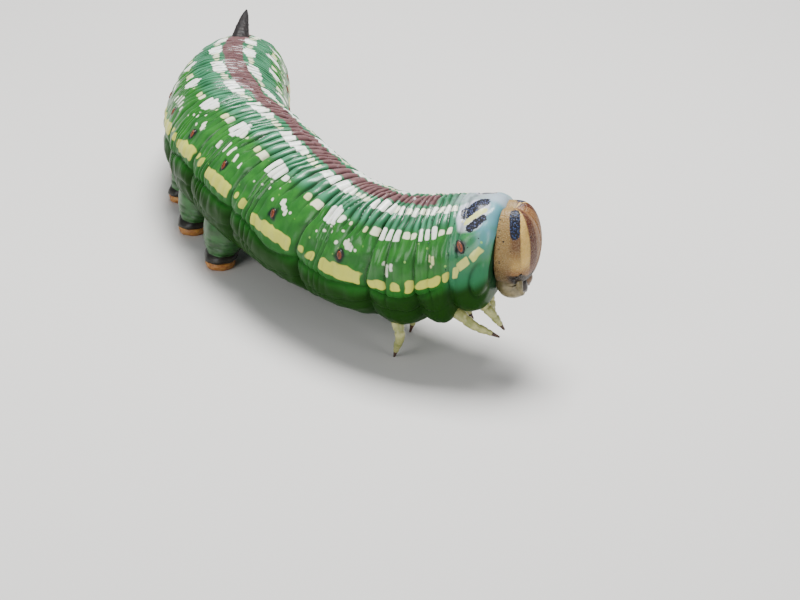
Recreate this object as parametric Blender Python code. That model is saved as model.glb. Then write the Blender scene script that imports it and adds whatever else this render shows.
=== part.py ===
"""Larva of a hawk moth, life size, in one still pose.

The animal stands on a flat floor at z = 0. Its head points to +X and its right side to -Y. The body
curves away from the viewer at -Y. All sizes below are millimetres and degrees.
"""
import math

import bmesh
import bpy
import numpy as np
from mathutils import Vector

MM = 0.001
GAP = 0.3

# Plan position of the larva's middle, moved to the origin
MIDDLE = (-5.33, 21.33)

# Front centre of the first thoracic segment
FRONT = (8.8, -3.25, 11.3)

# Name, length, heading towards the tail, height and roll at the rear border, radius, rings of skin folds
BODY = [
    ("thorax_1", 3.55, 163, 10.45, 4, 4.7, 2),
    ("thorax_2", 2.8, 164, 9.5, 0, 5.15, 3),
    ("thorax_3", 3.4, 153, 8.8, 1, 5.5, 4),
    ("abdomen_1", 6.4, 138, 8.4, 10, 5.6, 6),
    ("abdomen_2", 9.6, 122, 8.0, 21, 5.9, 7),
    ("abdomen_3", 8.0, 116, 7.7, 25, 6.3, 7),
    ("abdomen_4", 6.6, 112, 7.4, 19, 6.3, 7),
    ("abdomen_5", 5.2, 98, 7.2, 11, 6.15, 6),
    ("abdomen_6", 4.8, 90, 6.95, 3, 5.95, 6),
    ("abdomen_7", 4.4, 86, 6.4, 0, 5.55, 5),
    ("abdomen_8", 4.0, 84, 5.7, 0, 5.1, 4),
    ("abdomen_9", 2.3, 84, 5.2, 0, 4.6, 2),
    ("abdomen_10", 3.7, 84, 4.8, 0, 4.0, 2),
]
FRONT_ROLL = 7
AROUND = 24
STEP = 0.1
MARGIN = 1.0
BLEND = 3.0
GROOVE = 0.2
FOLD = 0.45
TAIL_STRAIGHT = 0.6
TAIL_FULLNESS = 0.7

# Rings lean towards the head over the back by this much, and stand square from LEAN_END to the tail
LEAN = 1.3
LEAN_START = 42
LEAN_END = 50

# Swellings at the roots of the true legs: angle below the side, spread and height
COXA_ANGLE = 62
COXA_SPREAD = 24
COXA_HEIGHT = {"thorax_1": 0.6, "thorax_2": 0.8, "thorax_3": 0.6}

# Lobes low on the flanks of the abdomen, one on each segment
LOBE_ANGLE = 36
LOBE_SPREAD = 22
LOBE_HEIGHT = 0.4

# Head capsule: its middle, heading and half sizes
HEAD_MIDDLE = (9.92, -3.8, 12.1)
HEAD_HEADING = -14
HEAD_DEPTH = 2.15
HEAD_BACK = 4.6
HEAD_WIDTH = 3.0
HEAD_HEIGHT = 3.65
HEAD_AROUND = 28
HEAD_RINGS = 15
CLEFT_DEPTH = 0.45
CLEFT_SPREAD = 0.8

# True legs: body segment, part of its length, root angle, knee and tip in plan and height
LEGS = {
    "leg_1_right": ("thorax_1", 0.55, -60, (7.9, -4.9, 5.7), (9.0, -4.7, 4.0)),
    "leg_2_right": ("thorax_2", 0.5, -62, (6.3, -4.8, 4.5), (8.6, -4.6, 3.2)),
    "leg_3_right": ("thorax_3", 0.7, -62, (0.0, -3.3, 2.6), (-0.5, -2.4, 0.0)),
    "leg_1_left": ("thorax_1", 0.55, -120, (7.9, -2.0, 5.4), (8.2, -2.6, 4.1)),
    "leg_2_left": ("thorax_2", 0.5, -118, (5.6, -0.7, 4.3), (6.4, -1.4, 3.2)),
    "leg_3_left": ("thorax_3", 0.7, -118, (1.6, 2.3, 2.6), (0.9, 2.0, 0.0)),
}
LEG_RADII = (0.72, 0.58, 0.46, 0.36, 0.17)
FOOT_FLAT = 0.24

# Prolegs of the abdomen: part of the segment's length, root angle, spread of the feet and radii
PROLEG_SEGMENTS = (3, 4, 5, 6)
PROLEG_PLACE = 0.62
PROLEG_ROOT_ANGLE = 44
PROLEG_SPREAD = 4.85
PROLEG_RADII = (3.0, 2.6, 2.0, 1.45, 1.5, 1.25)
PROLEG_SCALE = {3: 1.0, 4: 0.96, 5: 0.84, 6: 0.78}
CLASPER_PLACE = 0.5
CLASPER_ROOT_ANGLE = 40
CLASPER_SPREAD = 2.9
CLASPER_RADII = (2.2, 2.15, 1.9, 1.55, 1.6, 1.35)

# Tail horn on the eighth abdominal segment
HORN_LENGTH = 4.6
HORN_PLACE = 0.55
HORN_RADII = (1.15, 0.95, 0.78, 0.6, 0.42, 0.2)
HORN_LEAN = 34
HORN_CURVE = 14

# Colour, roughness of each material
COLOURS = {
    "skin": ((0.13, 0.33, 0.09, 1), 0.35),
    "head": ((0.5, 0.33, 0.17, 1), 0.4),
    "mouth": ((0.09, 0.05, 0.03, 1), 0.35),
    "pale": ((0.62, 0.6, 0.42, 1), 0.4),
    "foot": ((0.16, 0.22, 0.09, 1), 0.45),
    "horn": ((0.03, 0.025, 0.02, 1), 0.45),
}


def smooth(values):
    """Running mean over BLEND millimetres of arc, with the ends held."""
    count = int(BLEND / STEP) | 1
    padded = np.pad(values, count // 2, mode="edge")
    return np.convolve(padded, np.ones(count) / count, mode="valid")


class Centreline:
    """The body's middle line from the first thoracic segment to the tail, by arc length."""

    def __init__(self):
        lengths = np.array([row[1] for row in BODY])
        heights = np.array([FRONT[2]] + [row[3] for row in BODY])
        rolls = [FRONT_ROLL] + [row[4] for row in BODY]
        self.borders = np.concatenate([[0], np.cumsum(lengths)])
        middles = (self.borders[1:] + self.borders[:-1]) / 2
        self.arc = np.arange(-MARGIN, self.borders[-1] + MARGIN, STEP)
        self.heading = np.radians(smooth(np.interp(self.arc, middles, [row[2] for row in BODY])))
        self.pitch = smooth(np.interp(self.arc, middles, np.diff(heights) / lengths))
        self.roll = np.radians(smooth(np.interp(self.arc, self.borders, rolls)))
        self.radius = smooth(np.interp(self.arc, middles, [row[5] for row in BODY]))
        flat = np.sqrt(1 - self.pitch ** 2)
        move = np.stack([flat * np.cos(self.heading), flat * np.sin(self.heading), self.pitch], axis=1)
        track = np.cumsum(move * STEP, axis=0)
        start = np.array(FRONT) - np.array([*MIDDLE, 0])
        self.points = start + track - track[int(MARGIN / STEP)]

    def at(self, values, arc):
        return np.interp(arc, self.arc, values)

    def span(self, name):
        index = [row[0] for row in BODY].index(name)
        return self.borders[index], self.borders[index + 1]

    def frame(self, arc):
        """Point, direction to the tail, direction to the right side and direction up."""
        point = np.array([self.at(self.points[:, axis], arc) for axis in range(3)])
        heading = self.at(self.heading, arc)
        pitch = self.at(self.pitch, arc)
        flat = math.sqrt(1 - pitch ** 2)
        tail = np.array([flat * math.cos(heading), flat * math.sin(heading), pitch])
        right = np.cross([0, 0, 1], tail)
        right /= np.linalg.norm(right)
        return point, tail, right, np.cross(tail, right)

    def swelling(self, arc, angle):
        """Height of the lobes and leg roots at an angle from the right side over the back."""
        height = 0
        side = math.degrees(math.asin(math.sin(math.radians(angle))))
        for name, *_ in BODY[3:-1]:
            low, high = self.span(name)
            along = (arc - low) / (high - low)
            if 0 < along < 1:
                away = (side + LOBE_ANGLE) / LOBE_SPREAD
                height += LOBE_HEIGHT * math.sin(math.pi * along) ** 0.6 * math.exp(-away ** 2)
        for name, top in COXA_HEIGHT.items():
            low, high = self.span(name)
            along = (arc - low) / (high - low)
            if 0 < along < 1:
                for root in (-COXA_ANGLE, COXA_ANGLE - 180):
                    away = (angle - root + 180) % 360 - 180
                    height += top * math.sin(math.pi * along) * math.exp(-(away / COXA_SPREAD) ** 2)
        return height

    def surface(self, arc, angle, outward=0.0):
        """Point on the skin at an angle from the right side over the back."""
        point, tail, right, up = self.frame(arc)
        turn = math.radians(angle) + self.at(self.roll, arc)
        radius = self.at(self.radius, arc) * self.taper(arc) + self.swelling(arc, angle) + outward
        forward = self.lean(arc) * math.sin(math.radians(angle))
        return point - forward * tail + radius * (math.cos(turn) * right + math.sin(turn) * up)

    def lean(self, arc):
        """How far a ring's top is set forward, and its bottom back."""
        return LEAN * min(max((LEAN_END - arc) / (LEAN_END - LEAN_START), 0), 1)

    def front_plane(self, back):
        """Point and normal of the first ring's plane, set back along the body."""
        point, tail, right, up = self.frame(0)
        roll = self.at(self.roll, 0)
        top = math.cos(roll) * up - math.sin(roll) * right
        normal = self.at(self.radius, 0) * tail + self.lean(0) * top
        return point + tail * back, normal / np.linalg.norm(normal)

    def taper(self, arc):
        """Part of the full radius that is left as the last segment rounds off."""
        low, high = self.span("abdomen_10")
        along = min(max((arc - low - TAIL_STRAIGHT) / (high - low - TAIL_STRAIGHT), 0), 0.996)
        return math.sqrt(1 - along ** 2) ** TAIL_FULLNESS

    def ring(self, arc, outward):
        return [self.surface(arc, angle, outward) for angle in np.arange(AROUND) * 360 / AROUND]


def loft(rings):
    """A closed mesh through rings of equal count, with flat ends."""
    mesh = bmesh.new()
    loops = [[mesh.verts.new(Vector(point) * MM) for point in ring] for ring in rings]
    for first, second in zip(loops, loops[1:]):
        for index, vertex in enumerate(first):
            after = (index + 1) % len(first)
            mesh.faces.new((vertex, first[after], second[after], second[index]))
    mesh.faces.new(loops[0])
    mesh.faces.new(list(reversed(loops[-1])))
    bmesh.ops.recalc_face_normals(mesh, faces=mesh.faces)
    return mesh


def material(name):
    if name in bpy.data.materials:
        return bpy.data.materials[name]
    colour, roughness = COLOURS[name]
    made = bpy.data.materials.new(name)
    made.use_nodes = True
    shader = made.node_tree.nodes["Principled BSDF"]
    shader.inputs["Base Color"].default_value = colour
    shader.inputs["Roughness"].default_value = roughness
    shader.inputs["Metallic"].default_value = 0
    return made


def add(name, mesh, look):
    data = bpy.data.meshes.new(name)
    mesh.to_mesh(data)
    mesh.free()
    data.materials.append(material(look))
    body = bpy.data.objects.new(name, data)
    bpy.context.scene.collection.objects.link(body)
    return body


def shade(body):
    body.data.shade_smooth()
    body.data.set_sharp_from_angle(angle=math.radians(50))


def cut(body, cutter):
    """Take a cutter's volume away and keep the largest piece that is left."""
    change = body.modifiers.new("cut", "BOOLEAN")
    change.operation = "DIFFERENCE"
    change.object = cutter
    evaluated = body.evaluated_get(bpy.context.evaluated_depsgraph_get())
    mesh = bmesh.new()
    mesh.from_mesh(evaluated.to_mesh())
    evaluated.to_mesh_clear()
    body.modifiers.clear()
    keep_largest(mesh)
    mesh.to_mesh(body.data)
    mesh.free()


def keep_largest(mesh):
    left = set(mesh.verts)
    groups = []
    while left:
        group = set()
        edge = [left.pop()]
        while edge:
            vertex = edge.pop()
            group.add(vertex)
            near = [link.other_vert(vertex) for link in vertex.link_edges]
            edge.extend(other for other in near if other in left)
            left.difference_update(near)
        groups.append(group)
    largest = max(groups, key=len)
    loose = [vertex for group in groups if group is not largest for vertex in group]
    bmesh.ops.delete(mesh, geom=loose, context="VERTS")


def helper(name, mesh):
    body = add(name, mesh, "skin")
    body.hide_render = True
    body.display_type = "WIRE"
    return body


def circle(middle, across, along, radius, count):
    """Ring of points round a middle, from two unit directions."""
    turns = np.arange(count) * 2 * math.pi / count
    return [middle + radius * (math.cos(turn) * across + math.sin(turn) * along) for turn in turns]


def tube_rings(path, radii, count, level_end):
    """Rings square to a path, the last one level when the end rests on the floor."""
    path = [np.array(point, dtype=float) for point in path]
    rings = []
    for index, (point, radius) in enumerate(zip(path, radii)):
        ahead = path[min(index + 1, len(path) - 1)]
        behind = path[max(index - 1, 0)]
        axis = (ahead - behind) / np.linalg.norm(ahead - behind)
        if level_end and index >= len(path) - 2:
            axis = np.array([0, 0, -1.0])
        across = np.cross(axis, [0.3, 1, 0.1])
        across /= np.linalg.norm(across)
        rings.append(circle(point, across, np.cross(axis, across), radius, count))
    return rings


def blend(first, second, part):
    return np.array(first) * (1 - part) + np.array(second) * part


def body_segment(line, name, folds):
    low, high = line.span(name)
    count = 2 * folds + 1
    rings = []
    for index, arc in enumerate(np.linspace(low + GAP / 2, high - GAP / 2, count)):
        ends = index in (0, count - 1)
        relief = FOLD if ends else GROOVE * (index % 2 == 0)
        rings.append(line.ring(arc, -relief))
    shade(add(name, loft(rings), "skin"))


def tail_arcs(line):
    """Places along the last segment, closer together where it rounds off."""
    low, high = line.span("abdomen_10")
    start = low + TAIL_STRAIGHT
    return [start + (high - start) * math.sin(math.radians(turn)) for turn in range(10, 86, 15)]


def tail_segment(line, name):
    """The last segment, rounded off behind."""
    low, _ = line.span(name)
    rings = [line.ring(low + GAP / 2, -FOLD)]
    rings += [line.ring(arc, 0) for arc in tail_arcs(line)]
    shade(add(name, loft(rings), "skin"))


def clearance(line):
    """The whole body, larger by the gap, to cut the roots of limbs with."""
    arcs = list(np.linspace(-GAP / 2, line.span("abdomen_10")[0], 70)) + tail_arcs(line)
    return helper("body_clearance", loft([line.ring(arc, GAP) for arc in arcs]))


def head_mesh(line, larger=0.0):
    """Upright capsule of two lobes, flat behind where it meets the first segment."""
    heading = math.radians(HEAD_HEADING)
    forward = np.array([math.cos(heading), math.sin(heading), 0])
    right = np.array([math.sin(heading), -math.cos(heading), 0])
    middle = np.array(HEAD_MIDDLE) - np.array([*MIDDLE, 0])
    rings = []
    for tilt in np.linspace(8, 172, HEAD_RINGS):
        level = math.cos(math.radians(tilt))
        wide = math.sin(math.radians(tilt)) ** 0.8
        narrow = 1 - 0.1 * max(level, 0)
        ring = []
        for turn in np.arange(HEAD_AROUND) * 2 * math.pi / HEAD_AROUND:
            reach = HEAD_DEPTH if math.cos(turn) > 0 else HEAD_BACK
            deep = (reach + larger) * wide * math.cos(turn)
            side = (HEAD_WIDTH + larger) * wide * narrow * math.sin(turn)
            cleft = math.exp(-(side / CLEFT_SPREAD) ** 2)
            high = (HEAD_HEIGHT + larger) * level - CLEFT_DEPTH * cleft * max(level, 0) ** 2
            deep -= 0.5 * CLEFT_DEPTH * cleft * max(level, 0) * math.copysign(1, deep)
            ring.append(middle + deep * forward + side * right + np.array([0, 0, high]))
        rings.append(ring)
    mesh = loft(rings)
    point, normal = line.front_plane(larger - GAP / 2)
    found = bmesh.ops.bisect_plane(
        mesh,
        geom=mesh.verts[:] + mesh.edges[:] + mesh.faces[:],
        plane_co=point * MM,
        plane_no=normal,
        clear_outer=True,
    )
    rim = [item for item in found["geom_cut"] if isinstance(item, bmesh.types.BMEdge)]
    bmesh.ops.contextual_create(mesh, geom=rim)
    bmesh.ops.recalc_face_normals(mesh, faces=mesh.faces)
    return mesh


def on_head(forward_out, right_out, up_out):
    """Point given by its distances forward, to the right and up from the head's middle."""
    heading = math.radians(HEAD_HEADING)
    forward = np.array([math.cos(heading), math.sin(heading), 0])
    right = np.array([math.sin(heading), -math.cos(heading), 0])
    middle = np.array(HEAD_MIDDLE) - np.array([*MIDDLE, 0])
    return middle + forward_out * forward + right_out * right + np.array([0, 0, up_out])


def mouthparts(cutters):
    """Upper lip, jaws, lower lip and feelers round the mouth, under the front of the head."""
    shapes = {
        "labrum": (
            [(0.3, 0, -2.5), (0.75, 0, -3.1), (0.95, 0, -3.6), (0.95, 0, -4.05)],
            (0.5, 0.75, 0.7, 0.4), "pale",
        ),
        "labium": (
            [(-0.3, 0, -3.0), (-0.6, 0, -3.9), (-0.4, 0, -4.35), (0.2, 0, -4.7), (0.9, 0, -4.9)],
            (1.1, 1.3, 1.2, 0.85, 0.3),
            "pale",
        ),
    }
    for side, sign in (("right", 1), ("left", -1)):
        shapes["mandible_" + side] = (
            [
                (0.5, 0.8 * sign, -2.9), (0.8, 0.78 * sign, -3.75),
                (0.95, 0.65 * sign, -4.15), (1.05, 0.5 * sign, -4.45),
            ],
            (0.5, 0.52, 0.42, 0.25),
            "mouth",
        )
        shapes["antenna_" + side] = (
            [
                (0.5, 1.5 * sign, -2.6), (0.8, 2.0 * sign, -3.3),
                (0.98, 2.19 * sign, -3.68), (1.14, 2.28 * sign, -4.02),
            ],
            (0.45, 0.38, 0.32, 0.18),
            "pale",
        )
    cutters = list(cutters)
    for name, (path, radii, look) in shapes.items():
        path = [on_head(*point) for point in path]
        piece = add(name, loft(tube_rings(path, radii, 12, False)), look)
        for cutter in cutters:
            cut(piece, cutter)
        shade(piece)
        wider = [radius + GAP for radius in radii]
        cutters.append(helper(name + "_clearance", loft(tube_rings(path, wider, 12, False))))


def true_leg(line, name, cutter):
    segment, place, angle, knee, tip = LEGS[name]
    low, high = line.span(segment)
    arc = low + place * (high - low)
    shift = np.array([*MIDDLE, 0])
    root = line.surface(arc, angle - math.degrees(line.at(line.roll, arc)), -1.2)
    knee = np.array(knee) - shift
    tip = np.array(tip) - shift
    path = [root, blend(root, knee, 0.6), knee, blend(knee, tip, 0.55), tip]
    radii = list(LEG_RADII)
    rests = tip[2] == 0
    if rests:
        radii[-1] = FOOT_FLAT
    piece = add(name, loft(tube_rings(path, radii, 12, rests)), "pale")
    cut(piece, cutter)
    shade(piece)


def foot(line, name, segment, place, root_angle, spread, radii, cutter):
    """A stout proleg from the belly to its flat sole on the floor."""
    low, high = line.span(segment)
    arc = low + place * (high - low)
    point, tail, right, _ = line.frame(arc)
    sign = 1 if name.endswith("right") else -1
    world = -root_angle if sign > 0 else root_angle - 180
    angle = world - math.degrees(line.at(line.roll, arc))
    root = line.surface(arc, angle, -2.4)
    sole = np.array([point[0], point[1], 0]) + sign * spread * right
    ankle = sole + np.array([0, 0, 0.9])
    rim = sole + np.array([0, 0, 0.35])
    path = [root, blend(root, ankle, 0.4), blend(root, ankle, 0.75), ankle, rim, sole]
    along = np.array([tail[0], tail[1], 0])
    along /= np.linalg.norm(along)
    slope = (ankle - root) / np.linalg.norm(ankle - root)
    rings = []
    for index, (middle, radius) in enumerate(zip(path, radii)):
        level = min(index / 3, 1)
        axis = blend(slope, (0, 0, -1), level)
        across = np.cross(axis, along)
        across /= np.linalg.norm(across)
        rings.append(circle(middle, across, along, radius, 14))
    piece = add(name, loft(rings), "foot")
    cut(piece, cutter)
    shade(piece)


def horn(line, cutter):
    low, high = line.span("abdomen_8")
    arc = low + HORN_PLACE * (high - low)
    _, tail, _, up = line.frame(arc)
    path = [line.surface(arc, 90, -1.0)]
    for index in range(len(HORN_RADII) - 1):
        lean = math.radians(HORN_LEAN - index * HORN_CURVE / 4)
        reach = 1.0 if index == 0 else HORN_LENGTH / (len(HORN_RADII) - 2)
        path.append(path[-1] + reach * (math.cos(lean) * tail + math.sin(lean) * up))
    piece = add("horn", loft(tube_rings(path, HORN_RADII, 14, False)), "horn")
    cut(piece, cutter)
    shade(piece)


def main():
    for old in list(bpy.data.objects):
        bpy.data.objects.remove(old, do_unlink=True)
    line = Centreline()
    for name, *_, folds in BODY[:-1]:
        body_segment(line, name, folds)
    tail_segment(line, BODY[-1][0])
    shade(add("head", head_mesh(line), "head"))
    body_cutter = clearance(line)
    head_cutter = helper("head_clearance", head_mesh(line, GAP))
    mouthparts((head_cutter, body_cutter))
    for name in LEGS:
        true_leg(line, name, body_cutter)
    for number in PROLEG_SEGMENTS:
        for side in ("left", "right"):
            radii = [radius * PROLEG_SCALE[number] for radius in PROLEG_RADII]
            foot(
                line, f"proleg_{number}_{side}", f"abdomen_{number}",
                PROLEG_PLACE, PROLEG_ROOT_ANGLE, PROLEG_SPREAD, radii, body_cutter,
            )
    for side in ("left", "right"):
        foot(
            line, f"anal_clasper_{side}", "abdomen_10",
            CLASPER_PLACE, CLASPER_ROOT_ANGLE, CLASPER_SPREAD, CLASPER_RADII, body_cutter,
        )
    horn(line, body_cutter)
    bpy.context.view_layer.update()


main()
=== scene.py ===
"""Looks of the hawk-moth larva: skin, head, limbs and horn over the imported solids.

Lengths named in this script are millimetres and angles are degrees, unless a name says otherwise.
An angle round the body is counted from the right side over the back: 0 right, 90 back, 180 left.
"""

import math

import bmesh
import bpy
import numpy as np
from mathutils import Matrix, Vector


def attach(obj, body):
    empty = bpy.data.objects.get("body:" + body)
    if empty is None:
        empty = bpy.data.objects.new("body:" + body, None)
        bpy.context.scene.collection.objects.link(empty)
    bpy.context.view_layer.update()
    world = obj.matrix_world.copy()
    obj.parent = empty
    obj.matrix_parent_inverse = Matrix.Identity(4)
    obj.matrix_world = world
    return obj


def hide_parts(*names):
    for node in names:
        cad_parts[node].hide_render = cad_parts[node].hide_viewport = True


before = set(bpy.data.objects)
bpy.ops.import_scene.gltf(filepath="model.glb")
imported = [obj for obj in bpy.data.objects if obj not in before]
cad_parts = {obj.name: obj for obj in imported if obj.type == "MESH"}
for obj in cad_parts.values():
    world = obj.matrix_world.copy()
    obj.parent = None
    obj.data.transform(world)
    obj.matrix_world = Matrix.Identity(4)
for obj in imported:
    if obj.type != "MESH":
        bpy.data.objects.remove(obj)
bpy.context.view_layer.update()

MM = 0.001
BUMP_METRES = 0.0001
SIDES = (("right", 1), ("left", -1))

# The same body line as in the solids: length, heading, height and roll at the end, radius
MIDDLE = (-5.33, 21.33)
FRONT = (8.8, -3.25, 11.3)
FRONT_ROLL = 7
BODY = [
    ("thorax_1", 3.55, 163, 10.45, 4, 4.7),
    ("thorax_2", 2.8, 164, 9.5, 0, 5.15),
    ("thorax_3", 3.4, 153, 8.8, 1, 5.5),
    ("abdomen_1", 6.4, 138, 8.4, 10, 5.6),
    ("abdomen_2", 9.6, 122, 8.0, 21, 5.9),
    ("abdomen_3", 8.0, 116, 7.7, 25, 6.3),
    ("abdomen_4", 6.6, 112, 7.4, 19, 6.3),
    ("abdomen_5", 5.2, 98, 7.2, 11, 6.15),
    ("abdomen_6", 4.8, 90, 6.95, 3, 5.95),
    ("abdomen_7", 4.4, 86, 6.4, 0, 5.55),
    ("abdomen_8", 4.0, 84, 5.7, 0, 5.1),
    ("abdomen_9", 2.3, 84, 5.2, 0, 4.6),
    ("abdomen_10", 3.7, 84, 4.8, 0, 4.0),
]
STEP = 0.1
MARGIN = 1.0
BLEND = 3.0
TAIL_STRAIGHT = 0.6
TAIL_FULLNESS = 0.7
COXA_ANGLE = 62
COXA_SPREAD = 24
COXA_HEIGHT = {"thorax_1": 0.6, "thorax_2": 0.8, "thorax_3": 0.6}
LOBE_ANGLE = 36
LOBE_SPREAD = 22
LOBE_HEIGHT = 0.4
LEAN = 1.3
LEAN_START = 42
LEAN_END = 50

# Bulges on the thorax, pinched borders and the lobe behind the head: middle and half size
BULGE_SPLIT = 0.6
BULGE_HEIGHT = 0.26
BULGE_ANGLES = (16, 15)
BORDERS_PINCH = (-34, 26)
CHEEK_LOBE = ((0.55, 0.85), (-1.6, 1.5))
LOBE_RIM = 1.3

# Skin mesh
ROW_STEP = 0.08
AROUND = 288
INSET = 0.05
RIM = 1.25
FRONT_RADIUS = 4.7
NECK_RINGS = [(0.3, -0.06), (0.6, -0.06), (0.8, -0.06), (0.92, -0.05), (0.98, -0.02)]

THORAX = ("thorax_2", "thorax_3")
TAIL = ("abdomen_9", "abdomen_10")

# Folds across a segment: place as a part of its length, depth, and part kept on the flanks
GROOVES = [
    (0.0, 0.6, 0.7), (0.14, 0.48, 0.12), (0.28, 0.48, 0.08), (0.42, 0.48, 0.12), (0.54, 0.48, 0.2),
    (0.63, 0.5, 0.7), (0.7, 0.54, 0.85), (0.77, 0.5, 0.5), (0.88, 0.48, 0.15),
]
THORAX_GROOVES = [
    (0.0, 0.42, 0.95), (0.2, 0.32, 0.3), (0.4, 0.32, 0.3), (0.6, 0.32, 0.95), (0.8, 0.32, 0.3),
]
OWN_GROOVES = {
    "thorax_1": [(0.0, 0.0, 0.0), (0.82, 0.16, 0.5), (0.91, 0.2, 0.5)],
    "thorax_2": THORAX_GROOVES,
    "thorax_3": THORAX_GROOVES,
    "abdomen_9": [(0.0, 0.3, 0.6), (0.33, 0.3, 0.6), (0.66, 0.3, 0.6)],
    "abdomen_10": [(0.0, 0.35, 0.8)],
}
SHORT_SEGMENT = 6.0
SHORT_DEPTH = 0.6
ROUNDNESS = 0.93

# Angles above the side between which something sets in
FOLDS_DEEPEN = (26, 42)
FOLDS_START = (-34, -16)
FOLDS_CUT_MARKS = (12, 24)
TEAL_STARTS = (40, 54)
BELLY_SHADE_DARKENS = (-12, -26)
SHINE_ENDS = (14, -14)
SPECKLE_STARTS = (-6, 4)
SPECKLE_ENDS = (40, 50)

# Rows of marks, by the angle above the side
ROW_BACK = 73
ROW_BACK_JOIN = 72
ROW_BACK_FRONT = 69
ROW_FLANK = 43
ROW_STRIPE = -2
SPIRACLE = 13
SPIRACLE_PLACE = 0.38
SPIRACLE_FRONT = (0.74, 24)
FULL_LENGTH = 8.0
MOST_STRETCH = 1.15
RAGGED = 0.06
FLANK_CORNER = 0.2
LEAST_HALF = 0.07
BAND_HALF = 10
BAND_START = 5.6
STRIPE_FORM = {"corner": 0.3, "slant": 0.05}

# Pale marks on a segment: place as a part of its length, angle past the row's, half length,
# half height and warmth. The half lengths of THORAX_, TAIL_ and LONG_ marks are parts of the segment.
BACK_MARKS = [
    (0.07, 0, 0.48, 0.62, 0.0), (0.21, 0, 0.48, 0.62, 0.0), (0.35, 0, 0.46, 0.56, 0.05),
    (0.485, 0, 0.22, 0.26, 0.6), (0.585, 0, 0.26, 0.34, 0.45), (0.665, 0, 0.2, 0.34, 0.35),
    (0.735, 0, 0.16, 0.26, 0.5), (0.825, 0, 0.3, 0.42, 0.2), (0.94, 0, 0.44, 0.62, 0.0),
]
FLANK_MARKS = [
    (0.05, 0, 0.4, 0.42, 0.4), (0.19, 0, 0.3, 0.34, 0.7), (0.48, 0, 0.14, 0.14, 0.6),
    (0.585, 0, 0.26, 0.4, 0.15), (0.665, 0, 0.32, 0.8, 0.0), (0.735, 0, 0.32, 1.0, 0.0),
    (0.815, 0, 0.34, 0.82, 0.0),
]
THORAX_BACK = [(part, 0, 0.08, *rest) for part, *rest in (
    (0.1, 0.38, 0.35), (0.3, 0.5, 0.1), (0.5, 0.38, 0.35), (0.7, 0.5, 0.1), (0.9, 0.38, 0.35),
)]
THORAX_FLANK = [(part, 0, 0.076, *rest) for part, *rest in (
    (0.1, 0.3, 0.4), (0.3, 0.3, 0.4), (0.5, 0.54, 0.05), (0.7, 0.54, 0.05), (0.9, 0.54, 0.05),
)]
TAIL_BACK = [(0.4, -2, 0.3, 0.35, 0.3)]
PATCH = [
    (0.35, 25.5, 0.2, 0.26, 0.25), (0.31, 23.5, 0.26, 0.3, 0.25), (0.27, 21.5, 0.13, 0.3, 0.25),
    (0.22, 22.5, 0.13, 0.13, 0.25), (0.34, 28.5, 0.1, 0.2, 0.25), (0.48, 22, 0.14, 0.18, 0.25),
    (0.5, 33, 0.12, 0.12, 0.25), (0.6, 28, 0.14, 0.18, 0.25), (0.71, 26, 0.12, 0.13, 0.25),
    (0.64, 32, 0.09, 0.09, 0.25), (0.83, 22, 0.1, 0.1, 0.25),
]
DASHES = [
    (0.16, 22, 0.15, 0.3, 0.2), (0.3, 24, 0.15, 0.45, 0.2), (0.44, 26, 0.15, 0.55, 0.2),
    (0.58, 25, 0.15, 0.55, 0.2), (0.72, 22, 0.15, 0.4, 0.2),
]
# Corner radius and marks of the segments whose spots differ
OWN_SPOTS = {
    "thorax_2": (0.1, [(0.42, 16, 0.12, 0.4, 0.7), (0.55, 19, 0.1, 0.3, 0.7), (0.5, 11, 0.1, 0.16, 0.7)]),
    "thorax_3": (
        0.12, [(0.42, 14, 0.14, 0.34, 0.2), (0.56, 11, 0.17, 0.5, 0.2), (0.62, 17, 0.1, 0.2, 0.2)],
    ),
    "abdomen_3": (0.12, DASHES),
    "abdomen_5": (0.12, DASHES),
}
SPOTS = (0.14, PATCH)
OWN_STRIPE = {
    "thorax_2": [(0.06, -3, 0.3, 0.45, 1), (0.58, -5, 0.92, 0.42, 1)],
    "thorax_3": [(0.1, -6, 0.26, 0.6, 1), (0.36, -5, 0.34, 0.5, 1), (0.78, -4, 0.62, 0.45, 1)],
    "abdomen_10": [(0.2, -4, 0.8, 0.4, 1)],
}
LONG_STRIPE = [(0.34, -2, 0.3, 0.52, 1), (0.26, -1.5, 0.2, 0.66, 1)]
STRIPE_ENDS = [(0.79, 0, 0.36, 0.46, 1), (0.92, 2, 0.2, 0.34, 1)]

# Bars and patches on the first segment, each from one arc and angle to another, with its half width
STRIPE_FRONT = [
    ((2.95, -8), (2.85, 4), 0.24), ((2.65, 2.5), (1.75, 9), 0.4), ((1.55, 9), (0.75, 19), 0.38),
]
BAR_CORNER = 0.12
BLACK_PATCHES = [
    ((2.5, 64), (1.8, 76), 0.64), ((2.7, 58.5), (2.4, 63), 0.42), ((2.0, 43), (1.35, 51.5), 0.45),
]
CREAM_LINE = ((2.65, 49.5), (1.35, 62), 0.32)

# Dark specks at both ends, the pale shield behind the head and the most painted shade in a crease
SPECKS = 180
FRONT_SPECKS = 60
FRONT_SPECK_PLACES = (0.5, 5.5)
SPECK_ANGLES = (-10, 88)
SPECK_SIZES = (0.05, 0.1)
SHIELD_MIDDLE = (2.2, 61)
SHIELD_HALF = (1.3, 25)
MOST_CREASE_SHADE = 0.85

# Head, as in the solids
HEAD_MIDDLE = (9.92, -3.8, 12.1)
HEAD_HEADING = -14
HEAD_DEPTH = 2.15
HEAD_BACK = 4.6
HEAD_WIDTH = 3.0
HEAD_HEIGHT = 3.65
CLEFT_DEPTH = 0.45
CLEFT_SPREAD = 0.8

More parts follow.
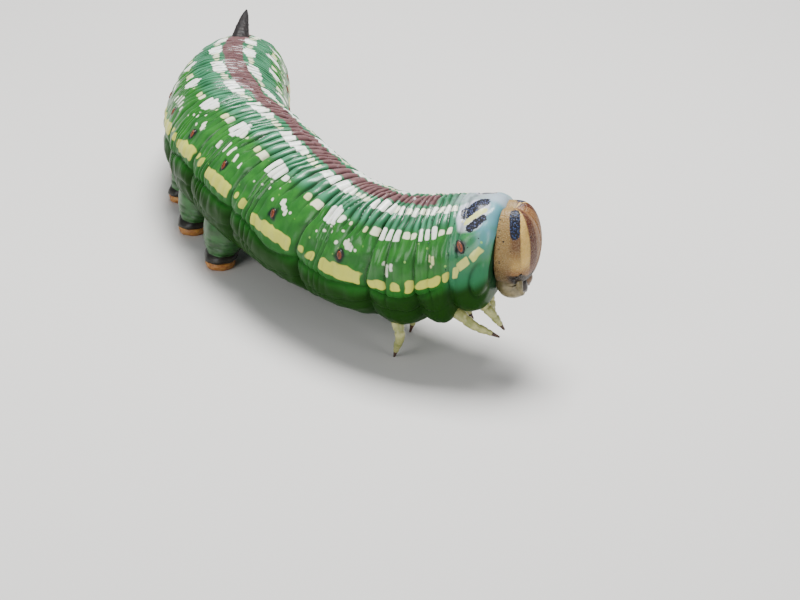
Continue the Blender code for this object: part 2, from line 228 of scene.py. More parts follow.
# Mesh of the head, the dash and specks on it, the eyes and the mouth
HEAD_GAP = 0.12
CROWN_LEAN = 6
HEAD_RINGS = 190
HEAD_COUNT = 260
DASH_ANGLE = 75
DASH_HEIGHT = 2.5
DASH_HALF = (0.58, 1.05)
DASH_CORNER = 0.4
HEAD_SPECKS = 200
EYES = 6
EYE_RADIUS = 0.13
EYE_ANGLE = 62
EYE_BOW = 18
LAST_EYE = 8
EYE_LEVEL = -0.52
EYE_DROP = 0.07
MOUTH_RINGS = 18
MOUTH_COUNT = 28

# Limbs, as in the solids. A leg has its segment, place as a part of it, root angle, knee and tip
LEGS = {
    "leg_1_right": ("thorax_1", 0.55, -60, (7.9, -4.9, 5.7), (9.0, -4.7, 4.0)),
    "leg_2_right": ("thorax_2", 0.5, -62, (6.3, -4.8, 4.5), (8.6, -4.6, 3.2)),
    "leg_3_right": ("thorax_3", 0.7, -62, (0.0, -3.3, 2.6), (-0.5, -2.4, 0.0)),
    "leg_1_left": ("thorax_1", 0.55, -120, (7.9, -2.0, 5.4), (8.2, -2.6, 4.1)),
    "leg_2_left": ("thorax_2", 0.5, -118, (5.6, -0.7, 4.3), (6.4, -1.4, 3.2)),
    "leg_3_left": ("thorax_3", 0.7, -118, (1.6, 2.3, 2.6), (0.9, 2.0, 0.0)),
}
PROLEG_PLACE = 0.62
PROLEG_ROOT_ANGLE = 44
PROLEG_SPREAD = 4.85
PROLEG_SCALE = {3: 1.0, 4: 0.96, 5: 0.84, 6: 0.78}
CLASPER_PLACE = 0.5
CLASPER_ROOT_ANGLE = 40
CLASPER_SPREAD = 2.9
HORN_LENGTH = 4.6
HORN_PLACE = 0.55
HORN_LEAN = 34
HORN_CURVE = 14

# Meshes of the limbs and spiracles
LEG_RINGS = 60
LEG_COUNT = 32
LEG_JOINTS = (0.42, 0.64, 0.8)
CLAW_START = 0.88
CLAW_COUNT = 20
FOOT_RINGS = 60
FOOT_COUNT = 56
ANKLE = 0.9
PROLEG_ROOT = 2.8
CLASPER_ROOT = 2.0
CLASPER_SCALE = 0.92
HORN_STEPS = 4
HORN_RINGS = 90
HORN_COUNT = 48
HORN_WIDTHS = (1.1, 0.9, 0.74, 0.56, 0.38, 0.1)
SPIRACLE_COUNT = 36
# No tube runs near this direction
TUBE_SIDE = (0.3, 1, 0.1)

# Levels down a foot, root 0, ankle 1 and sole 2, each with a fold's depth or a radius
FOOT_FOLDS = ((0.56, 0.08), (0.7, 0.14), (0.84, 0.1))
FOOT_RING = [(0.84, 1.25), (0.88, 1.52), (0.96, 1.54), (1.06, 1.46), (1.12, 1.2)]
FOOT_SOLE = [(1.08, 1.1), (1.2, 1.3), (1.5, 1.4), (1.7, 1.36), (1.9, 1.26), (2.0, 1.14)]

# Camera
AIM = (-MIDDLE[0], -MIDDLE[1], 8.5)
AIM_PIXEL = (400, 258)
PIXELS_PER_MM = 11.5
ELEVATION = 28.8
FIELD_OF_VIEW = 16.0
IMAGE = (800, 600)
SENSOR = 36

# Studio: half the floor's width in metres, and each light's place, size and power
FLOOR = 3.0
SKY = (0.86, 0.9, 1.0)
SKY_STRENGTH = 0.28
LIT_PLACE = (0, 0, 8)
LIGHTS = [
    ("key", (10, 25, 190), 90, 0.9),
    ("fill", (-130, -150, 110), 120, 0.2),
    ("front", (140, -160, 70), 80, 0.12),
]


def srgb(red, green, blue):
    """Linear colour from 0 to 255 screen values."""
    return tuple(((value / 255 + 0.055) / 1.055) ** 2.4 for value in (red, green, blue))


GREEN = srgb(37, 100, 36)
GREEN_BRIGHT = srgb(68, 152, 52)
# Greens of the back: darker in the folds as painted shade, light teal on the roll crests as a painted
# highlight
GREEN_FOLD_SHADE = srgb(16, 72, 36)
GREEN_TEAL_HIGHLIGHT = srgb(70, 142, 104)
# Dark green low on the flanks and belly, painted shade there; also the prolegs' base colour
GREEN_DARK = srgb(26, 60, 16)
GREEN_NECK = srgb(54, 120, 88)
COLLAR = srgb(94, 148, 162)
SHIELD = srgb(192, 196, 208)
DOT = srgb(132, 186, 86)
BLACK = srgb(14, 15, 22)
GRAIN = srgb(96, 108, 156)
# Painted shade in the creases of the green skin
CREASE_SHADE = srgb(14, 40, 12)
# Painted shadow on the cap behind the head
NECK_SHADOW = srgb(26, 58, 34)
# Mauve band: dark in its troughs as painted shade, lighter on the crests as a painted highlight
MAUVE = srgb(54, 28, 28)
MAUVE_HIGHLIGHT = srgb(130, 94, 94)
MAUVE_CREASE_SHADE = srgb(40, 20, 20)
WHITE = srgb(250, 252, 248)
CREAM = srgb(202, 204, 84)
CREAM_SHADE = srgb(164, 176, 84)
# Painted shade in the creases over the pale marks
CREAM_CREASE_SHADE = srgb(120, 132, 74)
CENTRE = srgb(128, 88, 50)
RED_BROWN = srgb(80, 38, 24)
CREAM_BAND = srgb(206, 168, 86)
BROWN = srgb(102, 70, 42)
CHEEK = srgb(142, 114, 66)
# Lower cheek, darker as painted shade
CHEEK_LOW_SHADE = srgb(86, 66, 32)
RUST = srgb(96, 50, 26)
HEAD_GRAIN = srgb(236, 212, 164)
HEAD_MOTTLE = srgb(110, 78, 46)
MOUTH_SHADE = srgb(16, 9, 7)
DASH = srgb(12, 14, 26)
DASH_GRAIN = srgb(58, 82, 132)

# What the skin's stored values are on the cap behind the head, painted dark as the shadow in the gap before
# the head
NECK_VALUES = {
    "pale": -1, "mauve": -1, "dark": -1, "warm": 0, "shade": 0, "crest_highlight": 0, "crease_shade": 0, "flank": 0,
    "under": 1, "base": NECK_SHADOW,
}


def ramp(low, high, value):
    part = np.clip((value - low) / (high - low), 0, 1)
    return part * part * (3 - 2 * part)


def bell(value, middle, width):
    return np.exp(-((value - middle) / width) ** 2)


def waves(first, second, seed, size, count=9):
    """Smooth seeded noise between about -1 and 1, with features of the given size."""
    random = np.random.default_rng(seed)
    total = np.zeros(np.broadcast(first, second).shape)
    for _ in range(count):
        turn = random.uniform(0, 2 * math.pi)
        length = size * random.uniform(0.7, 1.5)
        phase = random.uniform(0, 2 * math.pi)
        along = first * math.cos(turn) + second * math.sin(turn)
        total += np.sin(along * 2 * math.pi / length + phase)
    return total / math.sqrt(count)


def smooth(values):
    count = int(BLEND / STEP) | 1
    padded = np.pad(values, count // 2, mode="edge")
    return np.convolve(padded, np.ones(count) / count, mode="valid")


class Centreline:
    """The body's middle line by arc length, as in the solids, for one place or many at once."""

    def __init__(self):
        lengths = np.array([row[1] for row in BODY])
        heights = np.array([FRONT[2]] + [row[3] for row in BODY])
        rolls = [FRONT_ROLL] + [row[4] for row in BODY]
        self.borders = np.concatenate([[0], np.cumsum(lengths)])
        middles = (self.borders[1:] + self.borders[:-1]) / 2
        self.arc = np.arange(-MARGIN, self.borders[-1] + MARGIN, STEP)
        self.heading = np.radians(smooth(np.interp(self.arc, middles, [row[2] for row in BODY])))
        self.pitch = smooth(np.interp(self.arc, middles, np.diff(heights) / lengths))
        self.roll = np.radians(smooth(np.interp(self.arc, self.borders, rolls)))
        self.radius = smooth(np.interp(self.arc, middles, [row[5] for row in BODY]))
        flat = np.sqrt(1 - self.pitch ** 2)
        move = np.stack([flat * np.cos(self.heading), flat * np.sin(self.heading), self.pitch], axis=1)
        track = np.cumsum(move * STEP, axis=0)
        start = np.array(FRONT) - np.array([*MIDDLE, 0])
        self.points = start + track - track[int(MARGIN / STEP)]

    def at(self, values, arc):
        return np.interp(arc, self.arc, values)

    def span(self, name):
        index = [row[0] for row in BODY].index(name)
        return self.borders[index], self.borders[index + 1]

    def place(self, name, part):
        """Arc of a place given as a part of a segment."""
        low, high = self.span(name)
        return low + part * (high - low)

    def frame(self, arc):
        """Points and directions to the tail, to the right side and up, each with a last axis of 3."""
        point = np.stack([self.at(self.points[:, axis], arc) for axis in range(3)], axis=-1)
        heading = self.at(self.heading, arc)
        pitch = self.at(self.pitch, arc)
        flat = np.sqrt(1 - pitch ** 2)
        tail = np.stack([flat * np.cos(heading), flat * np.sin(heading), pitch], axis=-1)
        right = np.cross([0, 0, 1], tail)
        right /= np.linalg.norm(right, axis=-1, keepdims=True)
        return point, tail, right, np.cross(tail, right)

    def taper(self, arc):
        low, high = self.span("abdomen_10")
        along = np.clip((arc - low - TAIL_STRAIGHT) / (high - low - TAIL_STRAIGHT), 0, 0.9999)
        return np.sqrt(1 - along ** 2) ** TAIL_FULLNESS

    def surface(self, arc, angle, outward=0.0):
        point, tail, right, up = self.frame(arc)
        turn = np.radians(angle) + self.at(self.roll, arc)
        radius = self.at(self.radius, arc) * self.taper(arc) + outward
        across = np.cos(turn)[..., None] * right + np.sin(turn)[..., None] * up
        forward = self.lean(arc) * np.sin(np.radians(angle))
        return point - forward[..., None] * tail + radius[..., None] * across

    def lean(self, arc):
        """How far a ring's top is set forward, and its bottom back."""
        return LEAN * np.clip((LEAN_END - arc) / (LEAN_END - LEAN_START), 0, 1)

    def front_plane(self):
        """Point and normal of the first ring's plane."""
        point, tail, right, up = self.frame(0)
        roll = self.at(self.roll, 0)
        top = math.cos(roll) * up - math.sin(roll) * right
        normal = self.at(self.radius, 0) * tail + self.lean(0) * top
        return point, normal / np.linalg.norm(normal)


def link_object(name, data):
    made = bpy.data.objects.new(name, data)
    bpy.context.scene.collection.objects.link(made)
    return made


def mesh_object(name, vertices, faces, look):
    """A smooth mesh from millimetre points."""
    data = bpy.data.meshes.new(name)
    data.from_pydata((np.asarray(vertices) * MM).tolist(), [], faces)
    data.materials.append(look)
    check = bmesh.new()
    check.from_mesh(data)
    bmesh.ops.recalc_face_normals(check, faces=check.faces)
    check.to_mesh(data)
    check.free()
    data.shade_smooth()
    return link_object(name, data)


def piece(name, points, faces, look, slot, *nodes):
    """A mesh that rides on the body, with its material, and stands for some nodes."""
    made = mesh_object(name, points, faces, look)
    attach(made, "root")
    if nodes:
        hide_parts(*nodes)
    return made


def grid_faces(rows, columns):
    """Quads between rings of equal count, with one face over each end."""
    index = np.arange(rows * columns).reshape(rows, columns)
    after = np.roll(index, -1, axis=1)
    quads = np.stack([index[:-1], after[:-1], after[1:], index[1:]], axis=-1).reshape(-1, 4)
    return quads.tolist() + [index[0][::-1].tolist(), index[-1].tolist()]


def store(made, name, values):
    """Keep a number or a colour for each vertex under a name that a material reads."""
    values = np.asarray(values, dtype=np.float32)
    if values.ndim == 3:
        layer = made.data.attributes.new(name, "FLOAT_COLOR", "POINT")
        opaque = np.ones((*values.shape[:2], 1), dtype=np.float32)
        layer.data.foreach_set("color", np.concatenate([values, opaque], axis=2).ravel())
    else:
        layer = made.data.attributes.new(name, "FLOAT", "POINT")
        layer.data.foreach_set("value", values.ravel())


class Nodes:
    """Short ways to build one material's node tree."""

    def __init__(self, name):
        self.material = bpy.data.materials.new(name)
        self.material.use_nodes = True
        self.tree = self.material.node_tree
        self.shader = self.tree.nodes["Principled BSDF"]

    def new(self, kind, **settings):
        node = self.tree.nodes.new(kind)
        for key, value in settings.items():
            setattr(node, key, value)
        return node

    def plug(self, value, socket):
        """Put a number, a colour or another node's output into a socket."""
        if isinstance(value, (int, float)):
            socket.default_value = value
        elif isinstance(value, tuple):
            socket.default_value = (*value, 1)[:len(socket.default_value)]
        else:
            self.tree.links.new(value, socket)

    def set(self, **values):
        for key, value in values.items():
            self.plug(value, self.shader.inputs[key.replace("_", " ")])

    def attribute(self, name, output="Fac"):
        return self.new("ShaderNodeAttribute", attribute_name=name).outputs[output]

    def texture(self, kind, output, **values):
        node = self.new("ShaderNodeTex" + kind)
        self.plug(self.new("ShaderNodeTexCoord").outputs["Object"], node.inputs["Vector"])
        for key, value in values.items():
            self.plug(value, node.inputs[key])
        return node.outputs[output]

    def noise(self, scale, detail=3.0):
        return self.texture("Noise", "Fac", Scale=scale, Detail=detail)

    def cells(self, scale):
        return self.texture("Voronoi", "Distance", Scale=scale)

    def sums(self, operation, first, second):
        node = self.new("ShaderNodeMath", operation=operation)
        self.plug(first, node.inputs[0])
        self.plug(second, node.inputs[1])
        return node.outputs[0]

    def times(self, first, second):
        return self.sums("MULTIPLY", first, second)

    def plus(self, first, second):
        return self.sums("ADD", first, second)

    def edge(self, name, rough, soft):
        """Whether a stored signed reach, made rough, is inside, softly."""
        return self.remap(self.plus(self.attribute(name), rough), -soft[0], soft[1])

    def remap(self, value, low, high, new_low=0.0, new_high=1.0):
        node = self.new("ShaderNodeMapRange")
        ends = {"Value": value, "From Min": low, "From Max": high, "To Min": new_low, "To Max": new_high}
        for key, number in ends.items():
            self.plug(number, node.inputs[key])
        return node.outputs[0]

    def mix(self, part, first, second):
        node = self.new("ShaderNodeMix", data_type="RGBA")
        for socket, value in zip((node.inputs[0], node.inputs[6], node.inputs[7]), (part, first, second)):
            self.plug(value, socket)
        return node.outputs[2]

    def bump(self, height, strength):
        node = self.new("ShaderNodeBump")
        for key, value in (("Strength", strength), ("Distance", BUMP_METRES), ("Height", height)):
            self.plug(value, node.inputs[key])
        self.set(Normal=node.outputs["Normal"])


def skin_material():
    nodes = Nodes("skin")
    wander = nodes.times(nodes.plus(nodes.noise(1500.0, 1.0), -0.5), 0.2)
    pale = nodes.edge("pale", wander, (0.04, 0.05))
    mauve = nodes.edge("mauve", wander, (0.08, 0.08))
    rough = nodes.times(nodes.plus(nodes.noise(3600.0), -0.5), 0.6)
    dark = nodes.edge("dark", rough, (0.03, 0.03))
    crease_shade = nodes.attribute("crease_shade")
    flank = nodes.attribute("flank")
    mottle = nodes.remap(nodes.noise(700.0), 0.4, 0.75, 0.0, 0.42)
    base = nodes.mix(nodes.times(mottle, flank), nodes.attribute("base", "Color"), GREEN_BRIGHT)
    dots = nodes.remap(nodes.cells(1250.0), 0.11, 0.17, 1.0, 0.0)
    chosen = nodes.remap(nodes.noise(600.0, 1.0), 0.52, 0.58)
    base = nodes.mix(nodes.times(nodes.times(dots, chosen), flank), base, DOT)
    # The mauve band is lighter on each roll's crest, a painted highlight
    crest_highlight = nodes.times(nodes.attribute("crest_highlight"), nodes.remap(nodes.noise(1800.0), 0.3, 0.7, 0.5, 1.0))
    band = nodes.mix(crest_highlight, MAUVE, MAUVE_HIGHLIGHT)
    tint = nodes.mix(nodes.attribute("warm"), WHITE, CREAM)
    tint = nodes.mix(nodes.remap(nodes.noise(2600.0), 0.3, 0.9, 0.0, 0.3), tint, CREAM_SHADE)
    # Painted shade darkens the creases, over the pale marks, the green and the mauve band
    tint = nodes.mix(nodes.times(crease_shade, 0.6), tint, CREAM_CREASE_SHADE)
    colour = nodes.mix(mauve, nodes.mix(crease_shade, base, CREASE_SHADE), nodes.mix(crease_shade, band, MAUVE_CREASE_SHADE))
    colour = nodes.mix(pale, colour, tint)
    colour = nodes.mix(nodes.attribute("shade"), colour, BLACK)
    grains = nodes.remap(nodes.cells(5600.0), 0.14, 0.42, 1.0, 0.0)
    patch = nodes.mix(nodes.times(grains, 0.9), BLACK, GRAIN)
    relief = nodes.times(nodes.noise(3000.0, 2.0), 0.12)
    nodes.bump(nodes.plus(relief, nodes.times(grains, dark)), 0.2)
    under = nodes.attribute("under")
    nodes.set(
        Base_Color=nodes.mix(dark, colour, patch),
        Roughness=nodes.remap(dark, 0, 1, 0.34, 0.6),
        Specular_IOR_Level=nodes.remap(under, 0, 1, 0.25, 0.03),
        Coat_Weight=nodes.remap(under, 0, 1, 0.4, 0.0),
        Coat_Roughness=0.2,
        Subsurface_Weight=0.08,
        Subsurface_Scale=0.0006,
        Subsurface_Radius=(0.6, 1.0, 0.35),
    )
    return nodes.material


class Skin:
    """Relief and markings over a grid of places along and round the body."""

    def __init__(self, line):
        self.line = line
        tail_low, tail_high = line.span("abdomen_10")
        start = tail_low + TAIL_STRAIGHT
        body = np.arange(0.05, start, ROW_STEP)
        rounding = start + (tail_high - start) * np.sin(np.radians(np.arange(1.5, 89, 1.5)))
        self.arcs = np.concatenate([body, rounding])
        self.s, self.a = np.meshgrid(self.arcs, np.arange(AROUND) * 360 / AROUND, indexing="ij")
        self.radius = (line.at(line.radius, self.arcs) * line.taper(self.arcs))[:, None] + 0 * self.a
        self.side = np.degrees(np.arcsin(np.clip(np.sin(np.radians(self.a)), -1, 1)))
        self.left = (self.a > 90) & (self.a < 270)
        self.around = np.radians(self.side) * self.radius
        self.wobble = 0.1 * self.waves(3, 3.2, 40)
        self.ragged = RAGGED * self.waves(81, 1.2, 50)
        self.pale, self.mauve, self.dark = (np.full(self.s.shape, -1.0) for _ in range(3))
        self.warm, self.shade, self.crease_shade = (np.zeros(self.s.shape) for _ in range(3))
        self.random = np.random.default_rng(11)

    def waves(self, seed, size, apart=0):
        """Noise over the skin, with the left side's taken from another place than the right's."""
        return waves(self.s, self.around + apart * self.left, seed, size)

    # Painted shade in creases and folds, kept for the skin's material
    def add_crease_shade(self, tone):
        self.crease_shade = np.maximum(self.crease_shade, tone)

    def segments(self):
        """Name, start and length of each segment."""
        for row, low, high in zip(BODY, self.line.borders, self.line.borders[1:]):
            yield row[0], low, high - low

    def part_of(self, name):
        low, high = self.line.span(name)
        return np.clip((self.s - low) / (high - low), 0, 1)

    def folds(self):
        """Place, depth and flank part of each fold along the body."""
        for name, low, length in self.segments():
            scale = 1 if name in OWN_GROOVES or length > SHORT_SEGMENT else SHORT_DEPTH
            for part, depth, flank in OWN_GROOVES.get(name, GROOVES):
                yield low + length * part, depth * scale, flank

    def rolls(self):
        """Round rolls of skin between neighbouring folds, with painted shade in the folds and a crest mask
        for painted highlights.
        """
        places, depths, flanks = (np.array(values) for values in zip(*self.folds()))
        along = self.s + self.wobble
        after = np.clip(np.searchsorted(places, along), 1, len(places) - 1)
        low, high = places[after - 1], places[after]
        reach = np.clip(2 * (along - low) / (high - low) - 1, -1, 1)
        fold = np.where(reach < 0, after - 1, after)
        back = ramp(*FOLDS_DEEPEN, self.side)
        lower = 0.35 + 0.65 * ramp(*FOLDS_START, self.side)
        uneven = 0.85 + 0.2 * waves(self.around, 3.7 * places[fold] + 40 * self.left, 5, 5.0)
        strength = np.clip((back + (1 - back) * flanks[fold]) * lower * uneven, 0, 1.1)
        strength = strength * ramp(0.15, 0.8, high - low)
        valley = (1 - np.sqrt(1 - ROUNDNESS * reach ** 2)) / (1 - math.sqrt(1 - ROUNDNESS))
        self.add_crease_shade((0.4 + depths[fold]) * ramp(0.6, 1.0, np.abs(reach)) * strength)
        self.crest_highlight = np.clip(1 - reach ** 2, 0, 1) ** 1.8
        cut = ramp(0.84, 0.98, np.abs(reach)) * ramp(0.3, 0.8, strength) * ramp(*FOLDS_CUT_MARKS, self.side)
        self.pale -= 0.5 * cut
        return depths[fold] * valley * strength

    def ridge(self):
        """The swelling under the pale side stripe, and the creases below it, with painted shade in them."""
        part = ramp(3, 6, self.s)
        ridge = 0.14 * bell(self.side, ROW_STRIPE, 9)
        first = np.abs(self.side + 15 + 3 * waves(self.s, 0 * self.s, 4, 5.0))
        second = np.abs(self.side + 36 + 4 * waves(self.s, 0 * self.s, 6, 6.0))
        self.add_crease_shade(part * 0.6 * np.exp(-first / 1.6))
        self.add_crease_shade(part * 0.4 * np.exp(-second / 1.6))
        return part * (ridge - 0.26 * np.exp(-first / 2.4) - 0.2 * np.exp(-second / 2.6))

    def borders(self):
        """How far segments pinch in at their borders, low on the flanks, with painted shade in the pinch.
        """
        depth = np.zeros(self.s.shape)
        for place in self.line.borders[1:-2]:
            depth = np.maximum(depth, 0.34 * bell(self.s + self.wobble, place, 0.55))
        depth = depth * bell(self.side, *BORDERS_PINCH)
        self.add_crease_shade(depth * 1.2)
        return depth

    def swellings(self):
        """Lobes low on the flanks, roots of the true legs, and the lobe under the first stripe, with
        painted shade in the crease behind it.
        """
        height = np.zeros(self.s.shape)
        for name, *_ in BODY[3:-1]:
            arch = np.sin(math.pi * self.part_of(name)) ** 0.6
            height += LOBE_HEIGHT * arch * bell(self.side, -LOBE_ANGLE, LOBE_SPREAD)
        for name, top in COXA_HEIGHT.items():
            arch = np.sin(math.pi * self.part_of(name))
            height += top * arch * bell(self.side, -COXA_ANGLE, COXA_SPREAD)
        for name in THORAX:
            part = self.part_of(name)
            behind = (part - BULGE_SPLIT) / (1 - BULGE_SPLIT)
            half = np.where(part < BULGE_SPLIT, part / BULGE_SPLIT, behind)
            height += BULGE_HEIGHT * np.sin(math.pi * half) ** 0.8 * bell(self.side, *BULGE_ANGLES)
        (arc, long), (round_way, tall) = CHEEK_LOBE
        lobe = np.hypot((self.s - arc) / long, (self.around - round_way) / tall)
        height += 0.25 * np.exp(-lobe ** 4) - 0.12 * bell(lobe, LOBE_RIM, 0.3)
        behind = ramp(-0.1, 0.7, self.s - arc) * (0.8 + 0.3 * self.waves(61, 1.5))
        self.add_crease_shade(0.8 * behind * bell(lobe, LOBE_RIM, 0.16))
        return height

    def relief(self):
        """Height of the skin over the smooth body."""
        inward = np.clip((RIM - self.s) / RIM, 0, 1)
        collar = RIM * (1 - np.sqrt(1 - inward ** 2))
        height = -INSET - self.rolls()
        height += self.ridge() + self.swellings() - self.borders() - collar
        height += 0.04 * self.waves(8, 1.6, 60)
        return height + 0.03 * self.waves(9, 0.7, 60) * self.part_of("abdomen_10") ** 0.5

    def above(self, rows, angle):
        return np.radians(self.side[rows] - angle) * self.radius[rows]

    def on_side(self, rows, left, field, elsewhere=-1):
        return np.where(self.left[rows] == left, field, elsewhere)

    def capsule(self, rows, start, end, half, left):
        """Signed reach inside a round-ended bar between two places given as arc and angle."""
        far = self.s[rows] - start[0]
        high = self.above(rows, start[1])
        along = end[0] - start[0]
        across = math.radians(end[1] - start[1]) * self.radius[rows]
        part = np.clip((far * along + high * across) / (along ** 2 + across ** 2 + 1e-9), 0, 1)
        off = np.hypot(far - part * along, high - part * across)
        return self.on_side(rows, left, half - off)

    def bar(self, rows, start, end, half, left):
        """The same for a bar with flat ends on the first segment."""
        far = self.s[rows] - start[0]
        high = np.radians(self.side[rows] - start[1]) * FRONT_RADIUS
        along = end[0] - start[0]
        across = math.radians(end[1] - start[1]) * FRONT_RADIUS
        length = math.hypot(along, across)
        ahead = np.abs((far * along + high * across) / length - length / 2) - length / 2 + BAR_CORNER
        aside = np.abs(high * along - far * across) / length - half + BAR_CORNER
        field = BAR_CORNER - np.hypot(np.maximum(ahead, 0), np.maximum(aside, 0))
        return self.on_side(rows, left, field)

    def near_rows(self, low, high):
        rows = np.where((self.arcs > low) & (self.arcs < high))[0]
        return slice(rows[0], rows[-1] + 1) if len(rows) else slice(0, 0)

    def add_pale(self, rows, field, warm):
        better = field > self.pale[rows]
        self.warm[rows] = np.where(better & (field > -0.2), warm, self.warm[rows])
        self.pale[rows] = np.maximum(self.pale[rows], field)

    def add_dark(self, rows, field):
        self.dark[rows] = np.maximum(self.dark[rows], field)

    def block(self, along, angle, half_long, half_round, warm, corner=0.15, slant=0.0):
        """Add one pale mark on both sides, from its middle and half sizes."""
        for left in (False, True):
            jog = self.random.uniform(-1, 1, 4)
            middle = along + 0.05 * jog[0]
            rows = self.near_rows(middle - half_long - 0.9, middle + half_long + 0.9)
            up = self.above(rows, angle) + 0.07 * jog[1]
            far = self.s[rows] - middle + slant * up + self.wobble[rows]
            wide = max(half_long * (1 + 0.12 * jog[2]), LEAST_HALF)
            tall = max(half_round * (1 + 0.12 * jog[3]), LEAST_HALF)
            rounding = min(corner, wide, tall)
            off_long = np.maximum(np.abs(far) - wide + rounding, 0)
            off_round = np.maximum(np.abs(up) - tall + rounding, 0)
            field = rounding - np.hypot(off_long, off_round)
            field = field + self.ragged[rows] * min(1, 2.5 * min(wide, tall))
            self.add_pale(rows, self.on_side(rows, left, field), warm)

    def row(self, low, length, marks, angle=0, scale=1, **form):
        """The marks of one row on one segment."""
        for part, past, half_long, half_round, warm in marks:
            self.block(low + length * part, angle + past, half_long * scale, half_round, warm, **form)

    def back_rows(self):
        """Blocks beside the band on the back, one on each roll of skin."""
        for name, low, length in self.segments():
            if name in THORAX:
                self.row(low, length, THORAX_BACK, ROW_BACK_FRONT, length)
            elif name in TAIL:
                self.row(low, length, TAIL_BACK, ROW_BACK, length)
            elif name != "thorax_1":
                angle = ROW_BACK_JOIN if name == "abdomen_1" else ROW_BACK
                self.row(low, length, BACK_MARKS, angle, min(length / FULL_LENGTH, MOST_STRETCH))

    def flank_rows(self):
        """The second row of blocks, half way down the flank."""
        for name, low, length in self.segments():
            if name in THORAX:
                self.row(low, length, THORAX_FLANK, ROW_FLANK, length)
            elif name not in ("thorax_1", *TAIL):
                stretch = min(length / FULL_LENGTH, MOST_STRETCH)
                self.row(low, length, FLANK_MARKS, ROW_FLANK, stretch, corner=FLANK_CORNER)

    def flank_spots(self):
        """Small spots, and the broken patch above each spiracle."""
        for name, low, length in self.segments():
            if name not in ("thorax_1", *TAIL):
                corner, marks = OWN_SPOTS.get(name, SPOTS)
                self.row(low, length, marks, corner=corner)

    def side_stripe(self):
        """The cream stripe below the spiracles, cut by the folds. It climbs towards the head."""
        for name, low, length in self.segments():
            if name == "thorax_1":
                for left in (False, True):
                    for start, end, half in STRIPE_FRONT:
                        rows = self.near_rows(start[0] - 3, start[0] + 3)
                        self.add_pale(rows, self.bar(rows, start, end, half, left), 0.9)
            elif name in OWN_STRIPE:
                self.row(low, length, OWN_STRIPE[name], **STRIPE_FORM)
            else:
                self.row(low, length, LONG_STRIPE, 0, length, **STRIPE_FORM)
                self.row(low, length, STRIPE_ENDS, **STRIPE_FORM)

    def back_band(self):
        """The mauve band on the back, from the second segment to the tail."""
        half = BAND_HALF + 1.5 * waves(self.s, 0 * self.s, 14, 5.0)
        reach = np.radians(half - (90 - self.side)) * self.radius
        self.mauve = np.minimum(reach, (self.s - BAND_START) * 0.6)

    def base_colours(self):
        """Green body, teal over the back with painted highlights on the roll crests and painted shade in
        the folds, darker below as painted shade, a pale blue collar and a whitish shield.
        """
        light = self.crest_highlight * (0.75 + 0.25 * self.waves(21, 2.6))
        front = 1 - ramp(1.0, 2.3, self.s + 0.035 * np.maximum(40 - self.side, 0))
        top = ramp(84, 96, self.side + 14) * (1 - ramp(3.0, 4.6, self.s))
        first = (1 - ramp(3.2, 4.2, self.s)) * ramp(-30, -10, self.side)
        (arc, angle), (long, tall) = SHIELD_MIDDLE, SHIELD_HALF
        shield = np.hypot((self.s - arc) / long, (self.side - angle) / tall) + 0.06 * self.waves(33, 1.2)
        shield = 1 - ramp(0.85, 1.05, shield)

        def blend(under, over, part):
            return under + (np.array(over) - under) * part[..., None]

        # Over the back, painted shade in the folds and a painted teal highlight on the crests
        back = blend(np.array(GREEN_FOLD_SHADE), GREEN_TEAL_HIGHLIGHT, light)
        colour = blend(np.array(GREEN), back, ramp(*TEAL_STARTS, self.side))
        # Painted shade: darker low on the flanks and under the belly
        colour = blend(colour, GREEN_DARK, ramp(*BELLY_SHADE_DARKENS, self.side))
        colour = blend(colour, GREEN_NECK, first * 0.75)
        colour = blend(colour, COLLAR, front * ramp(-4, 44, self.side) * 0.9)
        return blend(colour, SHIELD, np.maximum(shield, 0.6 * top))

    def shield(self):
        """Rough black patches on the first segment, split by a cream line, and dark specks."""
        for left in (False, True):
            rows = self.near_rows(0.3, 5.0)
            for bar in BLACK_PATCHES:
                self.add_dark(rows, self.capsule(rows, *bar, left))
            line = self.capsule(rows, *CREAM_LINE, left)
            self.dark[rows] = np.minimum(self.dark[rows], -line)
            self.add_pale(rows, line, 0.8)
        tail = self.line.span("abdomen_10")
        for number in range(SPECKS):
            place = self.random.uniform(*(FRONT_SPECK_PLACES if number < FRONT_SPECKS else tail))
            angle = self.random.uniform(*SPECK_ANGLES)
            left = self.random.uniform() < 0.5
            rows = self.near_rows(place - 0.3, place + 0.3)
            size = self.random.uniform(*SPECK_SIZES)
            speck = self.capsule(rows, (place, angle), (place + 0.001, angle), size, left)
            self.add_dark(rows, speck - 0.06)

    def spiracle_places(self):
        """Arc and angle of each breathing hole's middle."""
        for name, *_ in BODY:
            if name not in THORAX and name not in TAIL:
                part, angle = SPIRACLE_FRONT if name == "thorax_1" else (SPIRACLE_PLACE, SPIRACLE)
                for turn in (angle, 180 - angle):
                    yield self.line.place(name, part), turn

    def spiracle_shadow(self):
        for place, angle in self.spiracle_places():
            rows = self.near_rows(place - 2, place + 2)
            up = self.above(rows, min(angle, 180 - angle))
            off = self.on_side(rows, angle > 90, np.hypot((self.s[rows] - place) / 0.6, up / 0.82), 9)
            off = off + 0.14 * waves(self.s[rows], self.around[rows], 41, 0.7)
            self.shade[rows] = np.maximum(self.shade[rows], 0.95 * (1 - ramp(0.5, 1.0, off)))

